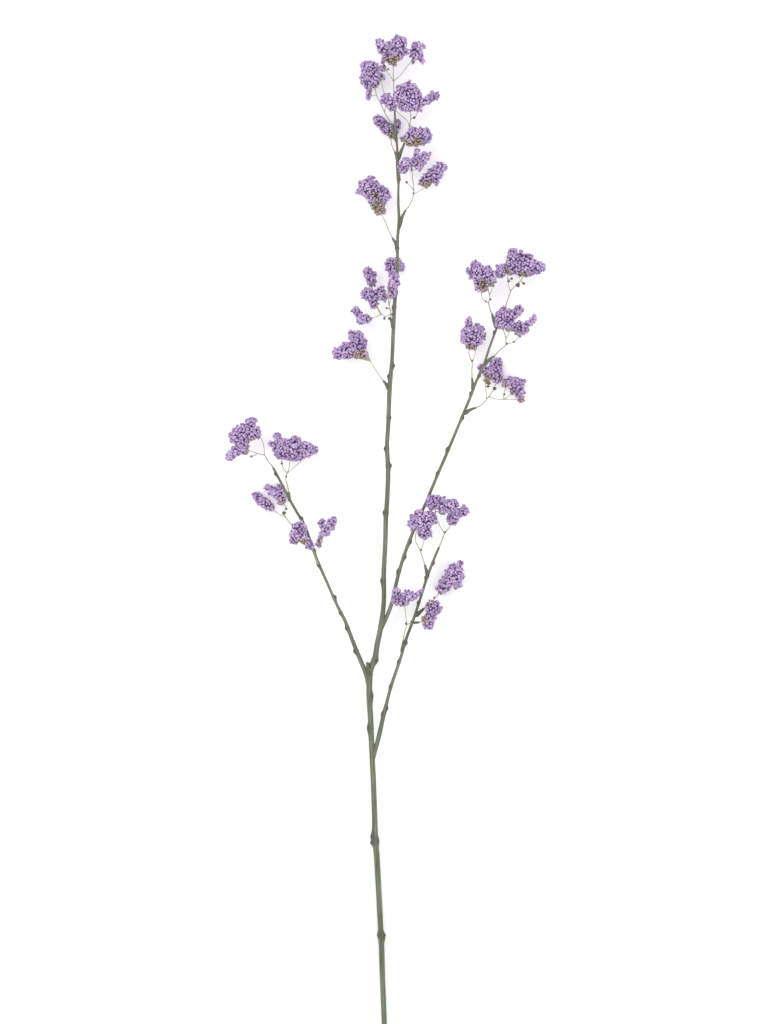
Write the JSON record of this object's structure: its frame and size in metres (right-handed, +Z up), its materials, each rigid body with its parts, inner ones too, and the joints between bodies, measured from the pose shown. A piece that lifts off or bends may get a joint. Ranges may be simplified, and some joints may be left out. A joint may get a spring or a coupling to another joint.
{
  "type": "dried flower sprig",
  "caption": "Long branching dried stem with thin twigs and small clustered heads of purple florets, lying flat.",
  "frame": {"origin": "on the table under the middle of the sprig: half way along its length and its width", "axes": "+Y along the stem from its cut end to its tip, +X to the right seen from above, +Z up off the table"},
  "size_m": [0.3182, 1.001, 0.0447],
  "materials": {
    "stem": "matte",
    "twig": "matte",
    "floret": "matte"
  },
  "bodies": {
    "root": {"stem": "stem", "head_left_1a": "floret", "head_left_2a": "floret", "head_left_3a": "floret", "head_left_3b": "floret", "head_left_4a": "floret", "head_left_4b": "floret", "head_low_1a": "floret", "head_low_2a": "floret", "head_low_3a": "floret", "head_low_4a": "floret", "head_low_5a": "floret", "head_main_1a": "floret", "head_main_1b": "floret", "head_main_2a": "floret", "head_main_3a": "floret", "head_main_3b": "floret", "head_main_3c": "floret", "head_main_4a": "floret", "head_main_5a": "floret", "head_main_5b": "floret", "head_main_6a": "floret", "head_main_7a": "floret", "head_main_7b": "floret", "head_main_7c": "floret", "head_main_7d": "floret", "head_main_7e": "floret", "head_main_8a": "floret", "head_right_1a": "floret", "head_right_2a": "floret", "head_right_3a": "floret", "head_right_3b": "floret", "head_right_4a": "floret", "head_right_5a": "floret", "head_right_5b": "floret", "twigs_left_1": "twig", "twigs_left_2": "twig", "twigs_left_3": "twig", "twigs_left_4": "twig", "twigs_low_1": "twig", "twigs_low_2": "twig", "twigs_low_3": "twig", "twigs_low_4": "twig", "twigs_low_5": "twig", "twigs_main_1": "twig", "twigs_main_2": "twig", "twigs_main_3": "twig", "twigs_main_4": "twig", "twigs_main_5": "twig", "twigs_main_6": "twig", "twigs_main_7": "twig", "twigs_main_8": "twig", "twigs_right_1": "twig", "twigs_right_2": "twig", "twigs_right_3": "twig", "twigs_right_4": "twig", "twigs_right_5": "twig"}
  },
  "joints": []
}
